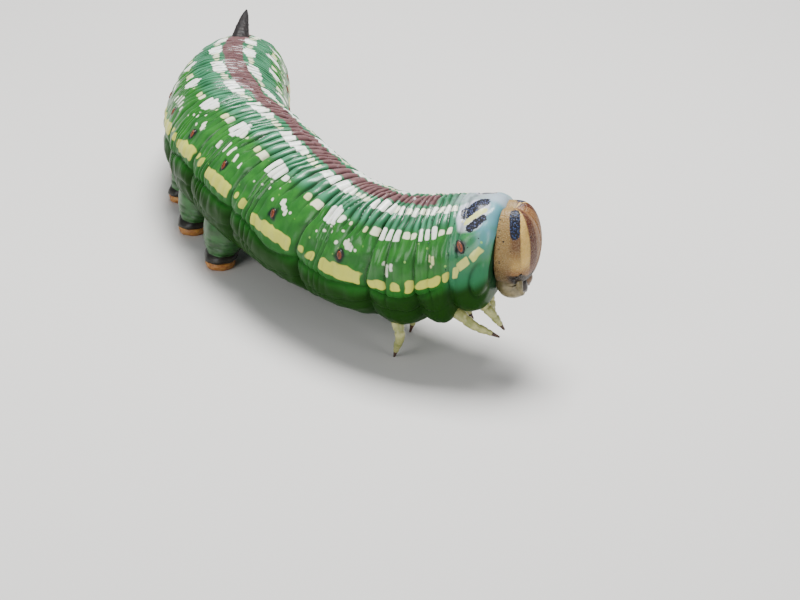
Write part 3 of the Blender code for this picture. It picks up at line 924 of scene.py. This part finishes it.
    def build(self):
        self.back_rows()
        self.flank_rows()
        self.flank_spots()
        self.side_stripe()
        self.back_band()
        self.shield()
        self.spiracle_shadow()
        points = self.line.surface(self.s, self.a, self.relief())
        middle = points[0].mean(axis=0)
        tail = self.line.frame(0)[1]
        neck = [middle + (points[0] - middle) * size + tail * deep for size, deep in NECK_RINGS]
        points = np.concatenate([np.array(neck), points])
        faces = grid_faces(*points.shape[:2])
        names = [row[0] for row in BODY]
        made = piece("skin", points.reshape(-1, 3), faces, skin_material(), "skin", *names)
        self.crease_shade = np.clip(self.crease_shade, 0, MOST_CREASE_SHADE)
        self.flank = ramp(*SPECKLE_STARTS, self.side) * (1 - ramp(*SPECKLE_ENDS, self.side))
        self.under = ramp(*SHINE_ENDS, self.side)
        self.base = self.base_colours()
        for name, at_neck in NECK_VALUES.items():
            values = getattr(self, name)
            neck_values = np.zeros((len(neck), *values.shape[1:])) + at_neck
            store(made, name, np.concatenate([neck_values, values]))


def circle(count):
    """Cosines and sines of the turns round a ring, each as a column."""
    turns = np.arange(count)[:, None] * 2 * math.pi / count
    return np.cos(turns), np.sin(turns)


def tube(path, radii, count):
    """Points and faces of a closed tube along a path, with rings square to it."""
    path = np.asarray(path, dtype=float)
    ahead = np.concatenate([path[1:], path[-1:]])
    behind = np.concatenate([path[:1], path[:-1]])
    axis = ahead - behind
    axis /= np.linalg.norm(axis, axis=1, keepdims=True)
    across = np.cross(axis, TUBE_SIDE)
    across /= np.linalg.norm(across, axis=1, keepdims=True)
    along = np.cross(axis, across)
    cosines, sines = circle(count)
    ring = cosines * across[:, None] + sines * along[:, None]
    points = path[:, None] + np.asarray(radii)[:, None, None] * ring
    return points.reshape(-1, 3), grid_faces(len(path), count)


def curve_through(points, count):
    """A smooth path through a few points."""
    points = np.asarray(points, dtype=float)
    lengths = np.concatenate([[0], np.cumsum(np.linalg.norm(np.diff(points, axis=0), axis=1))])
    slopes = np.gradient(points, lengths, axis=0)
    values = np.linspace(0, lengths[-1], count)
    index = np.minimum(np.searchsorted(lengths, values, side="right") - 1, len(points) - 2)
    gap = np.diff(lengths)[index, None]
    part = (values - lengths[index])[:, None] / gap
    left = 1 - part
    first = left ** 2 * ((1 + 2 * part) * points[index] + part * gap * slopes[index])
    second = part ** 2 * ((1 + 2 * left) * points[index + 1] - left * gap * slopes[index + 1])
    return first + second


def simple_material(name, colour, roughness, mottle=None, bump=0.0, scale=3000.0, coat=0.0):
    """One colour, with soft mottling towards a second one."""
    nodes = Nodes(name)
    if mottle is not None:
        colour = nodes.mix(nodes.remap(nodes.noise(scale), 0.35, 0.7), colour, mottle)
    if bump:
        nodes.bump(nodes.noise(scale * 2, 4.0), bump)
    nodes.set(Base_Color=colour, Roughness=roughness, Coat_Weight=coat)
    return nodes.material


def head_axes():
    heading = math.radians(HEAD_HEADING)
    forward = np.array([math.cos(heading), math.sin(heading), 0])
    right = np.array([math.sin(heading), -math.cos(heading), 0])
    return np.array(HEAD_MIDDLE) - np.array([*MIDDLE, 0]), forward, right


def on_head(forward_out, right_out, up_out):
    middle, forward, right = head_axes()
    return middle + forward_out * forward + right_out * right + np.array([0, 0, up_out])


def head_material():
    nodes = Nodes("head")
    colour = nodes.attribute("base", "Color")
    grain = nodes.remap(nodes.cells(7000.0), 0.1, 0.5, 0.3, 0.0)
    colour = nodes.mix(grain, colour, nodes.mix(0.6, colour, HEAD_GRAIN))
    colour = nodes.mix(nodes.remap(nodes.noise(2600.0), 0.45, 0.75, 0.0, 0.3), colour, HEAD_MOTTLE)
    colour = nodes.mix(nodes.attribute("shade"), colour, MOUTH_SHADE)
    fine = nodes.times(nodes.plus(nodes.noise(5200.0), -0.5), 0.25)
    colour = nodes.mix(nodes.edge("dark", fine, (0.03, 0.03)), colour, BLACK)
    pebbles = nodes.cells(6600.0)
    dash = nodes.mix(nodes.remap(pebbles, 0.1, 0.5, 1.0, 0.0), DASH, DASH_GRAIN)
    nodes.bump(pebbles, 0.6)
    nodes.set(
        Base_Color=nodes.mix(nodes.edge("dash", fine, (0.04, 0.04)), colour, dash),
        Roughness=0.45,
        Specular_IOR_Level=0.3,
        Coat_Weight=0.1,
        Coat_Roughness=0.25,
        Subsurface_Weight=0.05,
        Subsurface_Scale=0.0004,
    )
    return nodes.material


class Head:
    """Upright capsule of two lobes, with bands that run from the crown to the mouth."""

    def __init__(self, line):
        self.line = line
        tilt = np.radians(np.linspace(0.8, 179.2, HEAD_RINGS))
        turn = np.arange(HEAD_COUNT) * 2 * math.pi / HEAD_COUNT
        self.tilt, self.turn = np.meshgrid(tilt, turn, indexing="ij")
        self.level = np.cos(self.tilt)
        self.wide = np.sin(self.tilt) ** 0.8
        reach = np.where(np.cos(self.turn) > 0, HEAD_DEPTH, HEAD_BACK)
        narrow = 1 - 0.1 * np.maximum(self.level, 0)
        self.deep = reach * self.wide * np.cos(self.turn)
        self.side = HEAD_WIDTH * self.wide * narrow * np.sin(self.turn)
        self.high = HEAD_HEIGHT * self.level
        self.bands()

    def bands(self):
        """Angle from the face's middle line round an axis that leans back, and height on it."""
        lean = math.radians(CROWN_LEAN)
        ahead = self.deep / HEAD_DEPTH
        across = self.side / HEAD_WIDTH
        front = ahead * math.cos(lean) + self.level * math.sin(lean)
        self.crown = self.level * math.cos(lean) - ahead * math.sin(lean)
        self.angle = np.degrees(np.arctan2(np.abs(across), front))

    def points(self):
        cleft = bell(self.side, 0, CLEFT_SPREAD)
        up = np.maximum(self.level, 0)
        high = self.high - CLEFT_DEPTH * cleft * up ** 2
        deep = self.deep - 0.5 * CLEFT_DEPTH * cleft * up * np.tanh(self.deep / 0.8)
        place = np.stack([deep, self.side, high], axis=-1)
        normal = place / np.array([HEAD_DEPTH, HEAD_WIDTH, HEAD_HEIGHT]) ** 2
        normal /= np.linalg.norm(normal, axis=-1, keepdims=True)
        seam = 0.09 * np.exp(-np.abs(self.side) / 0.08) * (self.crown > 0.0)
        fork = np.abs(self.side) - 0.95 * ramp(0.05, -0.75, self.crown)
        seam = seam + 0.08 * np.exp(-np.abs(fork) / 0.08) * (self.crown <= 0.05) * (self.angle < 60)
        seam = seam * (self.deep > -0.3)
        middle, forward, right = head_axes()
        points = middle + (place - seam[..., None] * normal) @ np.array([forward, right, [0, 0, 1]])
        start, plane = self.line.front_plane()
        behind = (points - start) @ plane + HEAD_GAP
        return points - np.maximum(behind, 0)[..., None] * plane

    def colours(self):
        """Colour bands by the angle from the face's middle line; the cheeks are darker low down as painted
        shade, and the lower part is rusty.
        """
        angle = self.angle + 1.6 * waves(self.side, self.high, 51, 2.0)
        colour = np.zeros((*self.tilt.shape, 3)) + np.array(CENTRE)
        brown = ramp(-0.6, 0.3, self.level)
        for start, soft, tone, part in (
            (20, 2.5, RED_BROWN, 1), (42, 2.5, CREAM_BAND, 1), (62, 2.5, BROWN, brown), (86, 9, CHEEK, 1),
            # The cheeks darken low down: painted shade
            (90, 10, CHEEK_LOW_SHADE, ramp(0.1, -0.8, self.level)),
            (96, -16, RUST, 0.8 * ramp(-0.18, -0.5, self.level)),
        ):
            part = (part * ramp(start - soft, start + soft, angle))[..., None]
            colour = colour + (np.array(tone) - colour) * part
        return colour

    def marks(self):
        """Signed reach of the blue-black dash and of scattered specks, and a dark mouth."""
        scale = math.pi / 180 * HEAD_WIDTH * np.maximum(self.wide, 0.2)
        height = self.crown * HEAD_HEIGHT
        off_angle = np.abs(self.angle - DASH_ANGLE) * scale - DASH_HALF[0] - 0.08 * ramp(1.6, 2.6, height)
        off_height = np.abs(height - DASH_HEIGHT) - DASH_HALF[1]
        offs = [np.maximum(off + DASH_CORNER, 0) for off in (off_angle, off_height)]
        dash = DASH_CORNER - np.hypot(*offs)
        dash = np.minimum(dash, 0.3)
        dark = np.full(self.tilt.shape, -1.0)
        random = np.random.default_rng(5)
        for _ in range(HEAD_SPECKS):
            spot_level = random.uniform(-0.8, 0.9)
            spot_turn = random.uniform(-170, 170)
            if abs(spot_turn) < 80 and random.uniform() < 0.9:
                continue
            gap = (np.degrees(self.turn) - spot_turn + 180) % 360 - 180
            off = np.hypot(gap * scale, (self.level - spot_level) * HEAD_HEIGHT)
            dark = np.maximum(dark, random.uniform(0.02, 0.07) - off)
        ragged = self.level + 0.03 * waves(self.side, self.high, 57, 0.9)
        ragged = ragged + 0.06 * (1 - np.clip(self.angle / 90, 0, 1))
        mouth = ramp(-0.5, -0.6, ragged) * ramp(112, 90, self.angle)
        return dash, dark, 0.94 * mouth

    def build(self):
        points = self.points().reshape(-1, 3)
        faces = grid_faces(HEAD_RINGS, HEAD_COUNT)
        made = piece("head_skin", points, faces, head_material(), "head", "head")
        dash, dark, shade = self.marks()
        for name, values in (("base", self.colours()), ("dash", dash), ("dark", dark), ("shade", shade)):
            store(made, name, values)


def mouth(looks):
    """Upper lip, jaws, lower lip and feelers."""
    shapes = {
        "labrum": (
            [(0.3, 0, -2.6), (0.72, 0, -3.1), (0.9, 0, -3.55), (0.92, 0, -3.98)],
            (0.45, 0.7, 0.64, 0.3),
            "lip",
        ),
        "labium": (
            [(-0.3, 0, -3.2), (-0.6, 0, -3.9), (-0.4, 0, -4.3), (0.2, 0, -4.66), (0.85, 0, -4.86)],
            (1.0, 1.2, 1.12, 0.78, 0.2),
            "pale",
        ),
    }
    for side, sign in SIDES:
        for name, path, radii, look in (
            ("mandible_", [(0.5, 0.8, -3.0), (0.78, 0.78, -3.75), (0.92, 0.64, -4.1), (1.0, 0.48, -4.38)],
             (0.45, 0.5, 0.4, 0.15), "jaw"),
            ("antenna_", [(0.5, 1.5, -2.7), (0.8, 1.97, -3.28), (0.96, 2.16, -3.62), (1.09, 2.25, -3.9)],
             (0.34, 0.3, 0.2, 0.08), "pale"),
        ):
            shapes[name + side] = ([(ahead, out * sign, up) for ahead, out, up in path], radii, look)
    for name, (path, radii, look) in shapes.items():
        path = curve_through([on_head(*point) for point in path], MOUTH_RINGS)
        widths = np.interp(np.linspace(0, len(radii) - 1, MOUTH_RINGS), np.arange(len(radii)), radii)
        points, faces = tube(path, widths, MOUTH_COUNT)
        slot = "mouth" if look == "jaw" else "pale"
        piece(name + "_skin", points, faces, looks[look], slot, name)


def eyes(looks):
    """Six small simple eyes in an arc low on each cheek."""
    for side, sign in SIDES:
        for number in range(EYES):
            bow = EYE_BOW * math.sin(number * math.pi / (EYES - 1))
            turn = math.radians(EYE_ANGLE + bow + LAST_EYE * (number == EYES - 1))
            level = EYE_LEVEL - EYE_DROP * number
            wide = math.sqrt(1 - level ** 2) ** 0.8
            ahead = HEAD_DEPTH * wide * math.cos(turn)
            centre = on_head(ahead, sign * HEAD_WIDTH * wide * math.sin(turn), HEAD_HEIGHT * level)
            name = f"eye_{side}_{number + 1}"
            dome = bpy.data.meshes.new(name)
            mesh = bmesh.new()
            bmesh.ops.create_uvsphere(mesh, u_segments=16, v_segments=10, radius=EYE_RADIUS * MM)
            bmesh.ops.translate(mesh, vec=Vector(centre) * MM, verts=mesh.verts)
            mesh.to_mesh(dome)
            mesh.free()
            dome.materials.append(looks["eye"])
            dome.shade_smooth()
            made = link_object(name, dome)
            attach(made, "root")


def legs(line, looks):
    """True legs with a constriction at each joint, and their claws."""
    shift = np.array([*MIDDLE, 0])
    for name, (segment, place, angle, knee, tip) in LEGS.items():
        arc = line.place(segment, place)
        root = line.surface(arc, angle - math.degrees(line.at(line.roll, arc)), -1.2)
        knee = np.array(knee) - shift
        tip = np.array(tip) - shift
        middles = root * 0.4 + knee * 0.6, knee * 0.45 + tip * 0.55
        path = curve_through([root, middles[0], knee, middles[1], tip], LEG_RINGS)
        part = np.linspace(0, 1, LEG_RINGS)
        widths = np.interp(part, (0, 0.3, 0.5, 0.75, 1.0), (0.7, 0.55, 0.43, 0.33, 0.1))
        for joint in LEG_JOINTS:
            widths = widths * (1 - 0.16 * bell(part, joint, 0.018))
            widths = widths * (1 + 0.05 * bell(part, joint + 0.05, 0.03))
        claw = part > CLAW_START
        points, faces = tube(path[~claw], widths[~claw], LEG_COUNT)
        piece(name + "_skin", points, faces, looks["leg"], "pale", name)
        start = np.argmax(claw) - 1
        points, faces = tube(path[start:], widths[start:] * 0.9, CLAW_COUNT)
        piece(name + "_claw", points, faces, looks["claw"], "mouth")


def foot(line, name, segment, place, root_angle, spread, scale, root_width, looks):
    """A folded fleshy leg, its black ring and its orange-brown sole."""
    arc = line.place(segment, place)
    point, tail, right, _ = line.frame(arc)
    sign = 1 if name.endswith("right") else -1
    world = -root_angle if sign > 0 else root_angle - 180
    root = line.surface(arc, world - math.degrees(line.at(line.roll, arc)), -2.4)
    sole = np.array([point[0], point[1], 0]) + sign * spread * right
    ankle = sole + np.array([0, 0, ANKLE])
    along = np.array([tail[0], tail[1], 0])
    along /= np.linalg.norm(along)
    slope = (ankle - root) / np.linalg.norm(ankle - root)
    turns = np.arange(FOOT_COUNT) * 2 * math.pi / FOOT_COUNT
    cosines, sines = circle(FOOT_COUNT)

    def rings(levels):
        out = []
        for level, radius in levels:
            middle = root + (ankle - root) * level if level <= 1 else ankle + (sole - ankle) * (level - 1)
            axis = slope * (1 - min(level, 1)) + np.array([0, 0, -1.0]) * min(level, 1)
            across = np.cross(axis, along)
            across /= np.linalg.norm(across)
            wave = 1 + 0.03 * np.sin(3 * turns + 9 * level) + 0.02 * np.sin(7 * turns + 4 * level)
            out.append(middle + radius * scale * wave[:, None] * (cosines * across + sines * along))
        return np.concatenate(out), grid_faces(len(out), len(turns))

    part = np.linspace(0, 1, FOOT_RINGS)
    widths = np.interp(part, (0, 0.4, 0.72, 0.86, 1), (root_width, 0.86 * root_width, 1.85, 1.46, 1.2))
    for fold, deep in FOOT_FOLDS:
        widths = widths - deep * np.exp(-np.abs(part - fold) / 0.025)
    points, faces = rings(list(zip(part, widths)))
    piece(name + "_skin", points, faces, looks["flesh"], "foot", name)
    points, faces = rings(FOOT_RING)
    piece(name + "_ring", points, faces, looks["ring"], "horn")
    points, faces = rings(FOOT_SOLE)
    piece(name + "_sole", points, faces, looks["sole"], "foot")


def horn(line, looks):
    """A dark, rough, slightly curved horn, with small pointed grains."""
    arc = line.place("abdomen_8", HORN_PLACE)
    _, tail, _, up = line.frame(arc)
    path = [line.surface(arc, 90, -1.0)]
    for index in range(HORN_STEPS + 1):
        lean = math.radians(HORN_LEAN - index * HORN_CURVE / HORN_STEPS)
        reach = HORN_LENGTH / HORN_STEPS if index else 1.0
        path.append(path[-1] + reach * (math.cos(lean) * tail + math.sin(lean) * up))
    path = curve_through(path, HORN_RINGS)
    known = np.linspace(0, 1, len(HORN_WIDTHS))
    widths = np.interp(np.linspace(0, 1, HORN_RINGS), known, HORN_WIDTHS)
    points, faces = tube(path, widths, HORN_COUNT)
    points = points.reshape(HORN_RINGS, HORN_COUNT, 3)
    random = np.random.default_rng(17)
    along, round_way = np.meshgrid(np.arange(HORN_RINGS) * 0.08, np.arange(HORN_COUNT) * 0.1, indexing="ij")
    grain = np.clip(waves(along, round_way, 71, 0.5), 0, 2)
    points = path[:, None] + (points - path[:, None]) * (0.93 + 0.05 * grain[..., None])
    points = points + 0.01 * random.standard_normal(points.shape)
    piece("horn_skin", points.reshape(-1, 3), faces, looks["horn"], "horn", "horn")


def spiracles(line, skin, looks):
    """Black oval rims with an orange slit, set on the flanks."""
    cosines, sines = circle(SPIRACLE_COUNT)
    for number, (arc, angle) in enumerate(skin.spiracle_places()):
        _, tail, right, up = line.frame(arc)
        turn = math.radians(angle) + float(line.at(line.roll, arc))
        out = math.cos(turn) * right + math.sin(turn) * up
        round_way = -math.sin(turn) * right + math.cos(turn) * up
        middle = line.surface(arc, angle, -INSET)
        tall = round_way * (1 if angle < 90 else -1) + 0.25 * tail
        tall /= np.linalg.norm(tall)
        wide = np.cross(out, tall)
        scale, broad = (0.92, 1.0) if number < 2 else (0.72, 1.35)
        for kind, look, half_wide, half_tall, lift in (
            ("rim", "rim", 0.36, 0.68, 0.05),
            ("slit", "orange", 0.24, 0.52, 0.1),
            ("line", "rim", 0.035, 0.38, 0.13),
        ):
            ring = cosines * wide * half_wide * broad + sines * tall * half_tall
            rings = [middle + ring * scale - out * 0.2]
            for size, height in ((1.0, 0.4), (0.92, 0.8), (0.75, 1.0), (0.4, 1.02)):
                rings.append(middle + ring * size * scale + out * lift * height)
            slot = "horn" if look == "rim" else "foot"
            faces = grid_faces(len(rings), SPIRACLE_COUNT)
            piece(f"spiracle_{number + 1}_{kind}", np.concatenate(rings), faces, looks[look], slot)


def studio():
    """Pale floor and soft lights, wide and high."""
    floor = bpy.data.meshes.new("floor")
    corners = [(-FLOOR, -FLOOR, 0), (FLOOR, -FLOOR, 0), (FLOOR, FLOOR, 0), (-FLOOR, FLOOR, 0)]
    floor.from_pydata(corners, [], [(0, 1, 2, 3)])
    floor.materials.append(simple_material("floor", srgb(214, 212, 208), 0.8))
    made = link_object("floor", floor)
    world = bpy.data.worlds.new("studio")
    bpy.context.scene.world = world
    world.use_nodes = True
    sky = world.node_tree.nodes["Background"]
    sky.inputs["Color"].default_value = (*SKY, 1)
    sky.inputs["Strength"].default_value = SKY_STRENGTH
    centre = Vector(LIT_PLACE) * MM
    for name, place, size, power in LIGHTS:
        light = bpy.data.lights.new(name, "AREA")
        light.size = size * MM
        light.energy = power
        lamp = link_object(name, light)
        lamp.location = Vector(place) * MM
        lamp.rotation_euler = (centre - lamp.location).to_track_quat("-Z", "Y").to_euler()


def camera():
    """The camera of the photograph, with its view of the animal's middle."""
    lens = bpy.data.cameras.new("camera")
    lens.sensor_width = SENSOR
    half_view = math.tan(math.radians(FIELD_OF_VIEW / 2))
    lens.lens = SENSOR / 2 / half_view
    pixels = IMAGE[0] / 2 / half_view
    distance = pixels / PIXELS_PER_MM
    tilt = math.radians(ELEVATION)
    ahead = np.array([0, math.cos(tilt), -math.sin(tilt)])
    up = np.array([0, math.sin(tilt), math.cos(tilt)])
    across = (AIM_PIXEL[0] - IMAGE[0] / 2) / pixels * distance
    drop = (IMAGE[1] / 2 - AIM_PIXEL[1]) / pixels * distance
    place = np.array(AIM) - distance * ahead - across * np.array([1, 0, 0]) - drop * up
    lens.clip_start = 0.01
    lens.clip_end = 10
    made = link_object("camera", lens)
    made.location = Vector(place) * MM
    made.rotation_euler = (math.radians(90 - ELEVATION), 0, 0)
    bpy.context.scene.camera = made


def materials():
    """Looks of the small parts by name: colour, roughness, second colour, bump, scale and coat."""
    rows = {
        "lip": (srgb(108, 78, 46), 0.35, srgb(64, 42, 26), 0.2),
        "pale": (srgb(140, 126, 88), 0.4, srgb(96, 86, 54), 0.2, 2500.0, 0.3),
        "jaw": (srgb(38, 24, 18), 0.3, srgb(20, 12, 10)),
        "eye": (srgb(22, 16, 14), 0.12),
        "leg": (srgb(184, 182, 118), 0.4, srgb(136, 142, 80), 0.2, 1600.0, 0.2),
        "claw": (srgb(86, 52, 30), 0.35, srgb(40, 24, 16)),
        "flesh": (GREEN_DARK, 0.42, GREEN, 0.15, 1200.0, 0.1),
        "ring": (srgb(24, 24, 20), 0.4, srgb(44, 40, 26), 0.3),
        "sole": (srgb(158, 96, 40), 0.45, srgb(196, 142, 72), 0.3, 2600.0),
        "horn": (srgb(12, 10, 12), 0.6, srgb(32, 24, 22), 0.3),
        "rim": (srgb(20, 16, 14), 0.35),
        "orange": (srgb(134, 60, 24), 0.4, srgb(96, 46, 20), 0.2, 5000.0),
    }
    return {name: simple_material(name, *row) for name, row in rows.items()}


def main():
    line = Centreline()
    skin = Skin(line)
    skin.build()
    looks = materials()
    Head(line).build()
    mouth(looks)
    eyes(looks)
    legs(line, looks)
    proleg = (PROLEG_PLACE, PROLEG_ROOT_ANGLE, PROLEG_SPREAD)
    for number, scale in PROLEG_SCALE.items():
        for side in ("left", "right"):
            foot(line, f"proleg_{number}_{side}", f"abdomen_{number}", *proleg, scale, PROLEG_ROOT, looks)
    clasper = (CLASPER_PLACE, CLASPER_ROOT_ANGLE, CLASPER_SPREAD, CLASPER_SCALE, CLASPER_ROOT)
    for side in ("left", "right"):
        foot(line, f"anal_clasper_{side}", "abdomen_10", *clasper, looks)
    horn(line, looks)
    spiracles(line, skin, looks)
    studio()
    camera()


main()
